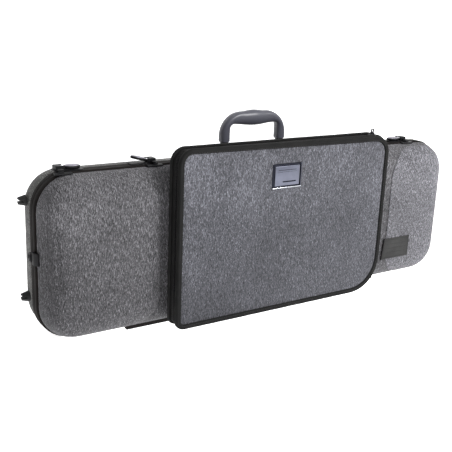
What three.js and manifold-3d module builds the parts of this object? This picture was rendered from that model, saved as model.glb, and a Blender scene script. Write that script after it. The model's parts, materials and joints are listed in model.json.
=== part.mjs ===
// Oblong violin case with a music pocket on its lid, standing on its spine.
// Millimetres. X runs along the case, Z is up, and the lid and its pocket face -Y.
// The case is drawn with X = 0 at its middle, Y = 0 on the parting plane and Z = 0 at the
// lowest edge of the rim, inside one group that puts the origin under the middle of the object.
import * as THREE from 'three';
import { mergeVertices } from 'three/addons/utils/BufferGeometryUtils.js';
import Module from 'manifold-3d';

const wasm = await Module();
wasm.setup();

// ---- Driving dimensions ----
const GAP = 0.3; // between touching pieces
const CASE_LENGTH = 790; // over the rim
const CASE_HEIGHT = 250; // over the rim
const CORNER_RADIUS = 55;
const RIM_PROUD = 2.6; // the rim stands out of the shells by this much
const WALL = 5;
const LINING = 5; // thickness of the lid's padding
const BASE_RIM = 5; // height of the base's part of the rim
const LID_RIM = 9;
const PARTING = 0.2; // half of the seam between the rims
const LIP_HEIGHT = 3.5; // the base rim's tongue
const LIP_OUTER = 5.6; // inset of the tongue's outer side
const LIP_REBATE = 5.2; // inset of the groove that takes the tongue
const BASE_DEPTH = 78;
const BASE_STRAIGHT = 28; // the base's wall is straight this far from the parting plane
const BASE_ROUND = 50;
const LID_DEPTH = 45;
const LID_STRAIGHT = 11;
const LID_ROUND = 38;
const LINING_TOP = 2.5; // the base's padding stops this far below the parting plane
const LINING_FLOOR = 62; // underside of the base's padding, which hangs clear of the shell's floor
const LINING_ROUND = 34;

const POCKET = { x0: -203.6, x1: 205, z0: 4.8, z1: 282, radii: [60, 30, 24, 14] };
const POCKET_BACK = -LID_DEPTH - GAP;
const POCKET_SPLIT = -62; // the zip's plane
const POCKET_FACE = -74.5; // front panel
const POCKET_FRONT = -77.5; // front of the binding
const POCKET_SKIN = 3;
const GUSSET_INSET = 4;
const BADGE_FRONT = -BASE_DEPTH;

const STAND_HEIGHT = 6; // hinges and feet lift the rim off the ground
const HINGE_LENGTH = 100;
const HINGE_X = 205;
const HINGE_AXIS_Z = -3.1;
const KNUCKLE_RADIUS = 2.8;

const LATCH_Y = 4;
const WING_AXIS_OFFSET = 4; // from the latch's pivot
const WING_AXIS_Z = 254.9;
const HANDLE_X = -1;
const HANDLE_Y = 37;
const HANDLE_PIN_Z = 257;
const HANDLE_WIDTH = 128;
const HANDLE_TOP = 316;
const FOOT_TIP_X = 403.5;
const END_FOOT_Y = 30;
const RING_X = 398.3; // axis of the strap rings
const RING_Y = -1.2;
const RING_Z = 129.5;
const RING_BARREL = 2.6;

const CORNER_STEPS = 6;
const ROUND_STEPS = 5;
const MIN_RADIUS = 2;

// ---- Materials ----
const material = (color, roughness, metalness = 0) =>
  new THREE.MeshStandardMaterial({ color, roughness, metalness });
const TWEED = [0x8b8f94, 0.9];
const BLACK_CLOTH = [0x17181a, 0.85];
const RIM_BLACK = [0x141416, 0.6];
const PLUSH = [0x3c4450, 0.95];
const MOULDED = [0x262b33, 0.45];
const RUBBER = [0x1a1a1b, 0.85];
const DARK_METAL = [0x3a3c40, 0.4, 0.9];
const NICKEL = [0xb9bcc0, 0.25, 0.95];
const BADGE_SILVER = [0xa7b4c2, 0.3, 0.9];

// ---- Geometry helpers ----
const degrees = (angle) => (angle * Math.PI) / 180;

// One ring of a rounded rectangle in a plane of constant Y; radii run from the lower right
// corner anticlockwise, as seen from the front.
function ring(box, inset, y) {
  const points = [];
  const corners = [
    [1, -1, 270],
    [1, 1, 0],
    [-1, 1, 90],
    [-1, -1, 180],
  ];
  corners.forEach(([sideX, sideZ, start], index) => {
    const radius = Math.max(box.radii[index] - inset, MIN_RADIUS);
    const centreX = (sideX > 0 ? box.x1 : box.x0) - sideX * (inset + radius);
    const centreZ = (sideZ > 0 ? box.z1 : box.z0) - sideZ * (inset + radius);
    for (let i = 0; i <= CORNER_STEPS; i++) {
      const angle = degrees(start + (90 * i) / CORNER_STEPS);
      points.push([centreX + radius * Math.cos(angle), y, centreZ + radius * Math.sin(angle)]);
    }
  });
  return points;
}

function signedVolume(points, triangles) {
  let volume = 0;
  for (const [a, b, c] of triangles) {
    const [p, q, r] = [points[a], points[b], points[c]].map((v) => new THREE.Vector3(...v));
    volume += p.dot(q.cross(r)) / 6;
  }
  return volume;
}

// Skins a list of rings with the same number of points. A closed loft joins its last ring to its
// first, as a frame does; an open one gets a flat cap on each end.
function loft(rings, closed = false) {
  const count = rings[0].length;
  const points = rings.flat();
  const triangles = [];
  const bands = closed ? rings.length : rings.length - 1;
  for (let band = 0; band < bands; band++) {
    const here = band * count;
    const next = ((band + 1) % rings.length) * count;
    for (let i = 0; i < count; i++) {
      const j = (i + 1) % count;
      triangles.push([here + i, here + j, next + j], [here + i, next + j, next + i]);
    }
  }
  if (!closed) {
    const last = (rings.length - 1) * count;
    for (let i = 1; i < count - 1; i++) {
      triangles.push([0, i + 1, i], [last, last + i, last + i + 1]);
    }
  }
  const outward = signedVolume(points, triangles) > 0;
  const index = triangles.flatMap(([a, b, c]) => (outward ? [a, b, c] : [a, c, b]));
  const geometry = new THREE.BufferGeometry();
  geometry.setAttribute('position', new THREE.Float32BufferAttribute(points.flat(), 3));
  geometry.setIndex(index);
  return geometry;
}

// The rings of one side of a bowl-shaped wall: straight first, then rounded over to its face.
function bowlRings(box, inset, start, straight, face, rounding) {
  const rings = [ring(box, inset, start)];
  for (let i = 0; i <= ROUND_STEPS; i++) {
    const angle = degrees((90 * i) / ROUND_STEPS);
    const y = straight + (face - straight) * Math.sin(angle);
    rings.push(ring(box, inset + rounding * (1 - Math.cos(angle)), y));
  }
  return rings;
}

function toSolid(geometry) {
  const plain = geometry.clone();
  plain.deleteAttribute('normal');
  plain.deleteAttribute('uv');
  const merged = mergeVertices(plain, 1e-4);
  return new wasm.Manifold(
    new wasm.Mesh({
      numProp: 3,
      vertProperties: merged.attributes.position.array,
      triVerts: new Uint32Array(merged.index.array),
    }),
  );
}

function toGeometry(solid) {
  const mesh = solid.getMesh();
  const geometry = new THREE.BufferGeometry();
  geometry.setAttribute('position', new THREE.BufferAttribute(mesh.vertProperties, 3));
  geometry.setIndex(new THREE.BufferAttribute(mesh.triVerts, 1));
  return geometry;
}

function join(first, ...others) {
  return toGeometry(others.reduce((sum, other) => sum.add(toSolid(other)), toSolid(first)));
}

function cut(body, ...tools) {
  return toGeometry(tools.reduce((left, tool) => left.subtract(toSolid(tool)), toSolid(body)));
}

function block(x0, x1, y0, y1, z0, z1) {
  const box = new THREE.BoxGeometry(x1 - x0, y1 - y0, z1 - z0);
  return box.translate((x0 + x1) / 2, (y0 + y1) / 2, (z0 + z1) / 2);
}

function rod(radius, length, axis, sides = 14, tip = radius) {
  const cylinder = new THREE.CylinderGeometry(tip, radius, length, sides);
  if (axis === 'x') {
    cylinder.rotateZ(-Math.PI / 2);
  }
  if (axis === 'z') {
    cylinder.rotateX(Math.PI / 2);
  }
  return cylinder;
}

function roundedShape(width, height, radius) {
  const x = width / 2 - radius;
  const y = height / 2 - radius;
  const shape = new THREE.Shape();
  shape.absarc(x, y, radius, 0, degrees(90));
  shape.absarc(-x, y, radius, degrees(90), degrees(180));
  shape.absarc(-x, -y, radius, degrees(180), degrees(270));
  shape.absarc(x, -y, radius, degrees(270), degrees(360));
  return shape;
}

function extrude(shape, depth, curveSegments = 4, bevel = 0) {
  return new THREE.ExtrudeGeometry(shape, {
    depth: depth - 2 * bevel,
    curveSegments,
    bevelEnabled: bevel > 0,
    bevelSize: bevel,
    bevelOffset: -bevel,
    bevelThickness: bevel,
    bevelSegments: 1,
  }).translate(0, 0, bevel);
}

// A shape drawn in X and Z, extruded from the plane Y = back towards -Y.
function upright(shape, back, depth, curveSegments, bevel) {
  return extrude(shape, depth, curveSegments, bevel).rotateX(Math.PI / 2).translate(0, back, 0);
}

// A profile drawn in Y and Z, extruded along X about X = 0.
function sectionBar(profile, length) {
  const shape = new THREE.Shape(profile.map(([y, z]) => new THREE.Vector2(y, z)));
  const bar = extrude(shape, length);
  return bar.rotateX(Math.PI / 2).rotateZ(Math.PI / 2).translate(-length / 2, 0, 0);
}

function add(group, name, geometry, finish, position = [0, 0, 0]) {
  const mesh = new THREE.Mesh(geometry, material(...finish));
  mesh.name = name;
  mesh.position.set(...position);
  group.add(mesh);
  return mesh;
}

function subgroup(parent, position) {
  const group = new THREE.Group();
  group.position.set(...position);
  parent.add(group);
  return group;
}

// ---- Shared case surfaces ----
const CASE = {
  x0: -CASE_LENGTH / 2,
  x1: CASE_LENGTH / 2,
  z0: 0,
  z1: CASE_HEIGHT,
  radii: [CORNER_RADIUS, CORNER_RADIUS, CORNER_RADIUS, CORNER_RADIUS],
};
const MIDDLE_Z = CASE_HEIGHT / 2;
const TOP_WALL = CASE_HEIGHT - RIM_PROUD;
const END_WALL = CASE_LENGTH / 2 - RIM_PROUD;
const INNER = RIM_PROUD + WALL; // inset of the shells' inner side
const ROUND_LOSS = 4; // the inner side of a rounded edge is this much tighter

// How far the base's rounded edge has dropped below its straight wall at a depth Y.
function baseDrop(y) {
  const reach = Math.max(y - BASE_STRAIGHT, 0) / (BASE_DEPTH - BASE_STRAIGHT);
  return BASE_ROUND * (1 - Math.sqrt(1 - reach * reach));
}

// ---- Base ----
function baseShell() {
  const start = BASE_RIM + GAP;
  const outer = bowlRings(CASE, RIM_PROUD, start, BASE_STRAIGHT, BASE_DEPTH, BASE_ROUND);
  const floor = BASE_DEPTH - WALL;
  const inner = bowlRings(CASE, INNER, start, BASE_STRAIGHT, floor, BASE_ROUND - ROUND_LOSS);
  return loft([...inner.reverse(), ...outer]);
}

function baseRim() {
  const profile = [
    [0, PARTING],
    [0, BASE_RIM],
    [INNER, BASE_RIM],
    [INNER, -LIP_HEIGHT],
    [LIP_OUTER, -LIP_HEIGHT],
    [LIP_OUTER, PARTING],
  ];
  return loft(profile.map(([inset, y]) => ring(CASE, inset, y)), true);
}

// The violin lies on its back with its lower bout at the left end and its scroll at the right.
const BODY_START = -373;
const BODY_LENGTH = 360;
const BODY_DEPTH = 49;
const NECK_END = 225;
const NECK_HALF = 26;
const NECK_DEPTH = 44;
const PEGBOX = { x0: 105, x1: 205, half: 44 };
const WELL = { x0: 14, x1: 224, near: 52, far: 94, depth: 56 };
const ACCESSORY = { x0: 246, x1: 362, half: 92, depth: 56 };
const FLAP_THICKNESS = 4;
const FLAP_MARGIN = 6;

// Half widths of the violin's body from its lower end (0) to its upper end (1).
const BODY_HALF_WIDTHS = [
  [0.0, 0],
  [0.012, 45],
  [0.09, 88],
  [0.23, 104],
  [0.37, 92],
  [0.5, 60],
  [0.62, 62],
  [0.78, 84],
  [0.93, 66],
  [0.99, 34],
];

function violinRecess() {
  const upper = BODY_HALF_WIDTHS.map(
    ([along, half]) => new THREE.Vector2(BODY_START + along * BODY_LENGTH, MIDDLE_Z + half),
  );
  const lower = BODY_HALF_WIDTHS.slice(1).map(
    ([along, half]) => new THREE.Vector2(BODY_START + along * BODY_LENGTH, MIDDLE_Z - half),
  );
  const curve = new THREE.SplineCurve([...upper, ...lower.reverse(), upper[0]]);
  const points = curve.getPoints(40).slice(0, -1);
  return upright(new THREE.Shape(points), BODY_DEPTH, BODY_DEPTH + 10);
}

function baseLining() {
  const outer = bowlRings(
    CASE,
    INNER + GAP,
    LINING_TOP,
    BASE_STRAIGHT,
    LINING_FLOOR,
    LINING_ROUND,
  );
  const flapSeat = LINING_TOP + FLAP_THICKNESS + 2 * GAP;
  const above = -5;
  return cut(
    loft(outer),
    violinRecess(),
    block(-30, NECK_END, above, NECK_DEPTH, MIDDLE_Z - NECK_HALF, MIDDLE_Z + NECK_HALF),
    block(PEGBOX.x0, PEGBOX.x1, above, NECK_DEPTH, MIDDLE_Z - PEGBOX.half, MIDDLE_Z + PEGBOX.half),
    block(WELL.x0, WELL.x1, above, WELL.depth, MIDDLE_Z + WELL.near, MIDDLE_Z + WELL.far),
    block(WELL.x0, WELL.x1, above, WELL.depth, MIDDLE_Z - WELL.far, MIDDLE_Z - WELL.near),
    block(
      ACCESSORY.x0,
      ACCESSORY.x1,
      above,
      ACCESSORY.depth,
      MIDDLE_Z - ACCESSORY.half,
      MIDDLE_Z + ACCESSORY.half,
    ),
    block(
      ACCESSORY.x0 - FLAP_MARGIN,
      ACCESSORY.x1 + FLAP_MARGIN,
      above,
      flapSeat,
      MIDDLE_Z - ACCESSORY.half - FLAP_MARGIN,
      MIDDLE_Z + ACCESSORY.half + FLAP_MARGIN,
    ),
  );
}

const NECK_REST_X = 50;
const NECK_REST_LENGTH = 36;

function neckRest() {
  const low = MIDDLE_Z - NECK_HALF + GAP;
  const high = MIDDLE_Z + NECK_HALF - GAP;
  const half = NECK_REST_LENGTH / 2;
  const pad = block(NECK_REST_X - half, NECK_REST_X + half, 24, NECK_DEPTH - GAP, low, high);
  const hollow = rod(15, NECK_REST_LENGTH + 4, 'x', 20).translate(NECK_REST_X, 20, MIDDLE_Z);
  return cut(pad, hollow);
}

function hingeLeaf(side) {
  const inner = side > 0 ? BASE_RIM + 0.5 : LID_RIM + 0.5;
  const reach = side > 0 ? 16 : 13.5;
  const throat = KNUCKLE_RADIUS + 0.4;
  const profile = [
    [throat, -GAP],
    [throat, HINGE_AXIS_Z],
    [6, -STAND_HEIGHT],
    [reach, -STAND_HEIGHT],
    [reach, RIM_PROUD - GAP],
    [inner, RIM_PROUD - GAP],
    [inner, -GAP],
  ].map(([y, z]) => [side * y, z]);
  const knuckles = 5;
  const pitch = HINGE_LENGTH / knuckles;
  const parts = [];
  for (let i = side > 0 ? 0 : 1; i < knuckles; i += 2) {
    const x = -HINGE_LENGTH / 2 + (i + 0.5) * pitch;
    const half = pitch / 2 - GAP;
    const knuckle = rod(KNUCKLE_RADIUS, 2 * half, 'x', 16).translate(x, 0, HINGE_AXIS_Z);
    const edges = [0, side * (throat + 0.5)].sort((a, b) => a - b);
    const web = block(x - half, x + half, edges[0], edges[1], HINGE_AXIS_Z, -GAP);
    parts.push(knuckle, web);
  }
  const bore = rod(1.6, HINGE_LENGTH + 4, 'x', 12).translate(0, 0, HINGE_AXIS_Z);
  return cut(join(sectionBar(profile, HINGE_LENGTH), ...parts), bore);
}

function spineFoot() {
  const top = [28, 34, 40, 46].map((y) => [y, RIM_PROUD + baseDrop(y) - GAP]);
  return sectionBar([[30, -STAND_HEIGHT], [28, 0], ...top, [44, -STAND_HEIGHT]], 60);
}

function endFoot() {
  const length = FOOT_TIP_X - END_WALL - GAP;
  const cone = rod(8.2, length, 'x', 20, 5.5).rotateZ(Math.PI);
  const slot = block(-length, length / 2 - 4, -12, 12, -1.7, 1.7);
  return cut(cone, slot);
}

// ---- Lid ----
function lidShell() {
  const start = -LID_RIM - GAP;
  const outer = bowlRings(CASE, RIM_PROUD, start, -LID_STRAIGHT, -LID_DEPTH, LID_ROUND);
  const face = WALL - LID_DEPTH;
  const inner = bowlRings(CASE, INNER, start, -LID_STRAIGHT, face, LID_ROUND - ROUND_LOSS);
  return loft([...inner.reverse(), ...outer]);
}

function lidRim() {
  const floor = -LIP_HEIGHT - 0.5;
  const profile = [
    [0, -PARTING],
    [0, -LID_RIM],
    [INNER, -LID_RIM],
    [INNER, floor],
    [LIP_REBATE, floor],
    [LIP_REBATE, -PARTING],
  ];
  return loft(profile.map(([inset, y]) => ring(CASE, inset, y)), true);
}

const LID_LINING_START = -LIP_HEIGHT - 0.7;
const LID_LINING_BACK = WALL - LID_DEPTH + GAP;
const LID_INTERIOR = LID_LINING_BACK + LINING;

function lidLining() {
  const round = LID_ROUND - ROUND_LOSS;
  const outer = bowlRings(
    CASE,
    INNER + GAP,
    LID_LINING_START,
    -LID_STRAIGHT,
    LID_LINING_BACK,
    round,
  );
  const inner = bowlRings(
    CASE,
    INNER + GAP + LINING,
    LID_LINING_START,
    -LID_STRAIGHT,
    LID_INTERIOR,
    round - ROUND_LOSS,
  );
  return loft([...inner.reverse(), ...outer]);
}

// A saddle on the lid's shoulder with an upstand that goes under the latch's arm.
function keeper(wingSide) {
  const near = -LID_RIM - 0.8;
  const clear = TOP_WALL + GAP;
  const saddle = sectionBar(
    [
      [near, clear],
      [-13, clear],
      [-16.5, clear - 0.5],
      [-16.5, 248.8],
      [-14.6, 249.8],
      [near, 250.4],
    ],
    26,
  );
  const edges = [wingSide * -5.5, wingSide].sort((a, b) => a - b);
  return join(saddle, block(edges[0], edges[1], near - 2.4, near, 249, 251.9));
}

// A block that wraps the lid's rim and shoulder, with a knuckle for the strap ring.
function ringBracket(side) {
  const inner = CASE_LENGTH / 2 + GAP;
  const shoulder = END_WALL + GAP + 0.1;
  const profile = [
    [inner, -4.5],
    [inner, -LID_RIM - GAP],
    [shoulder, -LID_RIM - GAP],
    [shoulder, -12.5],
    [shoulder - 0.7, -18],
    [shoulder + 1.5, -18.2],
    [397.6, -13],
    [398.4, -8],
    [398.4, -4.5],
  ].map(([x, y]) => new THREE.Vector2(side * x, y));
  const wrap = extrude(new THREE.Shape(profile), 18).translate(0, 0, -9);
  const barrel = rod(RING_BARREL, 8, 'z', 16).translate(side * RING_X, RING_Y, 0);
  const edges = [side * (inner + 0.2), side * 398.4].sort((a, b) => a - b);
  const web = block(edges[0], edges[1], -5, RING_Y, -4, 4);
  const bore = rod(1.75, 20, 'z', 14).translate(side * RING_X, RING_Y, 0);
  return cut(join(wrap, web, barrel), bore);
}

function bowTipHolder() {
  const front = LID_INTERIOR + GAP;
  const bar = block(-12, 12, front, front + 14, -74, 74);
  const slots = [-50, 50].map((z) => block(-20, 20, front + 4, front + 20, z - 7, z + 7));
  return cut(bar, ...slots);
}

function bowSpinner() {
  const stem = rod(5, 12, 'y', 16).translate(0, LID_INTERIOR + GAP + 6, 0);
  const bar = upright(roundedShape(42, 11, 5), LID_INTERIOR + 15.5, 4, 4);
  return join(stem, bar);
}

// ---- Music pocket ----
function pocketTray() {
  const floor = POCKET_BACK - POCKET_SKIN;
  const edge = POCKET_SPLIT + GAP;
  return loft([
    ring(POCKET, GUSSET_INSET + POCKET_SKIN, floor),
    ring(POCKET, GUSSET_INSET + POCKET_SKIN, edge),
    ring(POCKET, GUSSET_INSET, edge),
    ring(POCKET, GUSSET_INSET, POCKET_BACK),
  ]);
}

function pocketBackBinding() {
  const inner = GUSSET_INSET - GAP;
  const profile = [
    [1, POCKET_BACK],
    [0, POCKET_BACK - 1.5],
    [0, POCKET_BACK - 4.5],
    [1, POCKET_BACK - 6],
    [inner, POCKET_BACK - 6],
    [inner, POCKET_BACK],
  ];
  return loft(profile.map(([inset, y]) => ring(POCKET, inset, y)), true);
}

function pocketCover() {
  return loft([
    ring(POCKET, GUSSET_INSET + POCKET_SKIN, POCKET_FACE + POCKET_SKIN),
    ring(POCKET, GUSSET_INSET + POCKET_SKIN, POCKET_SPLIT - GAP),
    ring(POCKET, GUSSET_INSET, POCKET_SPLIT - GAP),
    ring(POCKET, GUSSET_INSET, POCKET_FACE),
  ]);
}

function pocketFrontBinding() {
  const inner = GUSSET_INSET - GAP;
  const seat = POCKET_FACE - GAP;
  const back = POCKET_FACE + 6;
  const profile = [
    [inner, back],
    [0.8, back],
    [0, back - 1.5],
    [0, POCKET_FRONT + 2.6],
    [2.6, POCKET_FRONT],
    [6, POCKET_FRONT],
    [8.5, seat - 1],
    [8.5, seat],
    [inner, seat],
  ];
  return loft(profile.map(([inset, y]) => ring(POCKET, inset, y)), true);
}

// ---- Latches ----
// Each latch has its pivot at one end; its wing points away from that end along X.
const LATCHES = [
  { x: -352.6, wingSide: 1, raised: 0 },
  { x: -210, wingSide: -1, raised: 14 },
  { x: 197, wingSide: 1, raised: 0 },
  { x: 311, wingSide: -1, raised: 0 },
];
const WING_LENGTH = 27.6; // from its fold axis
const PLATE_WIDTH = 22;
const PLATE_START = -9; // from the pivot, away from the wing
const PLATE_END = 34;
const PLATE_BOTTOM = CASE_HEIGHT + GAP;
const PLATE_TOP = PLATE_BOTTOM + 1;
const DISC_TOP = PLATE_TOP + GAP + 1;
const TOWER_TOP = 257.6;

// A thin plate over the seam, held by a foot on the base's wall.
function latchPlate(wingSide) {
  const shape = roundedShape(PLATE_END - PLATE_START, PLATE_WIDTH, 5);
  const middle = (PLATE_END + PLATE_START) / 2;
  const plate = extrude(shape, PLATE_TOP - PLATE_BOTTOM, 4);
  plate.translate(wingSide * middle, 0, PLATE_BOTTOM);
  const edges = [wingSide * -2, wingSide * 30].sort((a, b) => a - b);
  const rear = PLATE_WIDTH / 2;
  const foot = block(edges[0], edges[1], 1.6, rear, TOP_WALL + GAP, PLATE_BOTTOM + 0.5);
  return join(plate, foot);
}

// Drawn with its pivot at X = 0 and its wing side towards +X.
function latchRotor() {
  const disc = rod(7, 1, 'z', 20).translate(0, 0, DISC_TOP - 0.5);
  const tower = block(-7, 1.6, -7, 7, DISC_TOP - 0.5, TOWER_TOP);
  const arm = block(-6, 1.6, -16.4, 2, 252.6, 254.3);
  const ears = [-1, 1].map((side) =>
    block(0, WING_AXIS_OFFSET + 2.4, side * 6 - 1, side * 6 + 1, DISC_TOP - 0.5, TOWER_TOP),
  );
  return join(disc, arm, tower, ...ears);
}

// Drawn about its fold axis, pointing along +X.
function latchWing() {
  const length = WING_LENGTH - 3;
  const plate = extrude(roundedShape(length, 16, 7), 3, 5, 0.7);
  plate.translate(3 + length / 2, 0, -1.5);
  const root = block(0, 8, -4.5, 4.5, -1.5, 1.5);
  const barrel = rod(2, 9.2, 'y', 12);
  const earRoom = [-1, 1].map((side) => block(2, 6, side * 6.5 - 2, side * 6.5 + 2, -3, 3));
  return cut(join(plate, root, barrel), ...earRoom);
}

// ---- Handle ----
const LEG_WIDTH = 17;
const LEG_HALF_DEPTH = 8.5;
const TONGUE_RADIUS = 6.3;
const NECK_TOP = 9; // the legs are as thin as the tongue up to here
const EAR = 2.6;
const GRIP_RADIUS = 11.8;

function handleArch() {
  const half = HANDLE_WIDTH / 2;
  const top = HANDLE_TOP - HANDLE_PIN_Z;
  const corner = 40;
  const innerHalf = half - LEG_WIDTH;
  const innerTop = top - 22.5;
  const innerCorner = 6;
  const shape = new THREE.Shape();
  shape.moveTo(innerHalf, -TONGUE_RADIUS);
  shape.lineTo(half, -TONGUE_RADIUS);
  shape.absarc(half - corner, top - corner, corner, 0, degrees(90));
  shape.absarc(corner - half, top - corner, corner, degrees(90), degrees(180));
  shape.lineTo(-half, -TONGUE_RADIUS);
  shape.lineTo(-innerHalf, -TONGUE_RADIUS);
  const bendX = innerHalf - innerCorner;
  const bendZ = innerTop - innerCorner;
  shape.absarc(-bendX, bendZ, innerCorner, degrees(180), degrees(90), true);
  shape.absarc(bendX, bendZ, innerCorner, degrees(90), 0, true);
  return upright(shape, LEG_HALF_DEPTH, 2 * LEG_HALF_DEPTH, 8, 2);
}

function handle() {
  const half = HANDLE_WIDTH / 2;
  const profile = [
    [0, -40],
    [7, -38],
    [10.8, -22],
    [GRIP_RADIUS, 0],
    [10.8, 22],
    [7, 38],
    [0, 40],
  ].map(([radius, along]) => new THREE.Vector2(radius, along));
  const grip = new THREE.LatheGeometry(profile, 20).rotateZ(Math.PI / 2);
  grip.translate(0, 0, HANDLE_TOP - HANDLE_PIN_Z - GRIP_RADIUS);
  const trims = [];
  for (const side of [-1, 1]) {
    const outer = side * half;
    const inner = side * (half - LEG_WIDTH);
    for (const [from, inward] of [
      [outer, -side],
      [inner, side],
    ]) {
      const edges = [from - inward * 2, from + inward * (EAR + GAP)].sort((a, b) => a - b);
      trims.push(block(edges[0], edges[1], -10, 10, -10, 7.5));
    }
    trims.push(rod(2.1, 40, 'x', 14).translate(side * (half - LEG_WIDTH / 2), 0, 0));
  }
  const heel = [];
  for (const side of [-1, 1]) {
    const centre = side * (half - LEG_WIDTH / 2);
    const edges = [centre - LEG_WIDTH, centre + LEG_WIDTH];
    const shoe = block(...edges, -10, 10, -TONGUE_RADIUS - 2, NECK_TOP);
    const tongue = rod(TONGUE_RADIUS, 3 * LEG_WIDTH, 'x', 20).translate(centre, 0, 0);
    const neck = block(edges[0] - 1, edges[1] + 1, -TONGUE_RADIUS, TONGUE_RADIUS, 0, NECK_TOP + 1);
    heel.push(cut(shoe, tongue, neck));
  }
  return cut(join(handleArch(), grip), ...trims, ...heel);
}

// Drawn with X and Y about the handle's pin.
function handleMount() {
  const half = LEG_WIDTH / 2;
  const plateTop = 249.6;
  const seat = [-9, -3, 3, 10].map((dy) => [dy, TOP_WALL - baseDrop(HANDLE_Y + dy) + GAP]);
  const top = [[10, plateTop - 2.5], [7, plateTop], [-9, plateTop]];
  const plate = sectionBar([...seat, ...top], LEG_WIDTH + 10);
  const ears = [];
  for (const side of [-1, 1]) {
    const centre = side * (half - EAR / 2);
    const cap = rod(5.8, EAR, 'x', 18).translate(centre, 0, HANDLE_PIN_Z);
    const post = block(centre - EAR / 2, centre + EAR / 2, -5.8, 5.8, plateTop - 1, HANDLE_PIN_Z);
    ears.push(cap, post);
  }
  const bore = rod(2.1, LEG_WIDTH + 4, 'x', 14).translate(0, 0, HANDLE_PIN_Z);
  return cut(join(plate, ...ears), bore);
}

// ---- Strap rings, zip and flap ----
// A D-shaped ring lying towards +Y from its straight side, which is the turning axis.
function strapRing() {
  const half = 6.8;
  const wire = 2.2;
  const reach = 12;
  const outline = (inset) => {
    const path = new THREE.Path();
    const h = half - inset;
    const bottom = -wire / 2 + inset;
    const centre = reach - half - wire / 2;
    path.moveTo(bottom, h);
    path.lineTo(bottom, -h);
    path.absarc(centre, 0, h, degrees(-90), degrees(90));
    return path;
  };
  const shape = new THREE.Shape(outline(0).getPoints(8));
  shape.holes.push(new THREE.Path(outline(wire).getPoints(8)));
  return extrude(shape, wire).rotateY(Math.PI / 2).rotateX(Math.PI / 2).translate(-wire / 2, 0, 0);
}

const ZIP_X = 176;
const ZIP_PIVOT_Z = POCKET.z1;

function zipSlider() {
  const floor = POCKET.z1 - GUSSET_INSET + GAP;
  const body = block(-6, 6, -4.5, 4.5, floor, floor + 2);
  const posts = [-1, 1].map((side) =>
    block(-1.8, 1.8, side * 2.9 - 0.8, side * 2.9 + 0.8, floor + 1, ZIP_PIVOT_Z + 1.8),
  );
  return join(body, ...posts);
}

function zipPull() {
  const barrel = rod(1.2, 3.4, 'y', 10);
  const stem = block(-1, 1, -1, 1, 0, 2.6);
  const eye = cut(
    rod(3.4, 1.8, 'y', 18).translate(0, 0, 4.6),
    rod(1.9, 4, 'y', 14).translate(0, 0, 4.6),
  );
  return join(barrel, stem, eye);
}

function accessoryLid() {
  const half = ACCESSORY.half + FLAP_MARGIN - 0.5;
  const width = ACCESSORY.x1 - ACCESSORY.x0 + 2 * FLAP_MARGIN - 1;
  const panel = block(-width, 0, 0, FLAP_THICKNESS, -half, half);
  const finger = rod(11, 10, 'y', 16).translate(-width, 2, 0);
  return cut(panel, finger);
}

// ---- Assembly ----
const object = new THREE.Group();
const ringOut = RING_X + RING_BARREL;
const violinCase = subgroup(object, [(FOOT_TIP_X - ringOut) / 2, 0, STAND_HEIGHT]);
const base = subgroup(violinCase, [0, 0, 0]);
const lid = subgroup(violinCase, [0, 0, 0]);
const cover = subgroup(lid, [0, 0, 0]);

add(base, 'base_shell', baseShell(), TWEED);
add(base, 'base_rim', baseRim(), RIM_BLACK);
add(base, 'base_lining', baseLining(), PLUSH);
add(base, 'neck_rest', neckRest(), PLUSH);
add(base, 'neck_strap', block(-10, 10, -1.5, 0, -42, 42), BLACK_CLOTH, [80, LINING_TOP - GAP, MIDDLE_Z]);

add(lid, 'lid_shell', lidShell(), TWEED);
add(lid, 'lid_rim', lidRim(), RIM_BLACK);
add(lid, 'lid_lining', lidLining(), PLUSH);
add(lid, 'bow_tip_holder', bowTipHolder(), PLUSH, [334, 0, MIDDLE_Z]);

[-1, 1].forEach((side, index) => {
  const number = index + 1;
  add(base, `hinge_base_leaf_${number}`, hingeLeaf(1), RIM_BLACK, [side * HINGE_X, 0, 0]);
  add(lid, `hinge_lid_leaf_${number}`, hingeLeaf(-1), RIM_BLACK, [side * HINGE_X, 0, 0]);
  const pin = rod(1.2, HINGE_LENGTH, 'x', 10);
  add(base, `hinge_pin_${number}`, pin, NICKEL, [side * HINGE_X, 0, HINGE_AXIS_Z]);
  add(base, `spine_foot_${number}`, spineFoot(), RUBBER, [side * 305, 0, 0]);
  add(lid, `bow_spinner_${number}`, bowSpinner(), MOULDED, [-300, 0, MIDDLE_Z + side * 50]);
});

[205, 60].forEach((z, index) => {
  const x = -(END_WALL + GAP + FOOT_TIP_X) / 2;
  add(base, `end_foot_${index + 1}`, endFoot(), RUBBER, [x, END_FOOT_Y, z]);
});

for (const [name, side] of [
  ['left', -1],
  ['right', 1],
]) {
  add(lid, `ring_bracket_${name}`, ringBracket(side), DARK_METAL, [0, 0, RING_Z]);
  add(lid, `strap_ring_${name}`, strapRing(), DARK_METAL, [side * RING_X, RING_Y, RING_Z]);
  const stay = block(-5, 5, -1.6, 1.6, -18, 18);
  add(base, `lid_stay_${name}`, stay, BLACK_CLOTH, [side * 379, 0.4, 175]);
}

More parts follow.
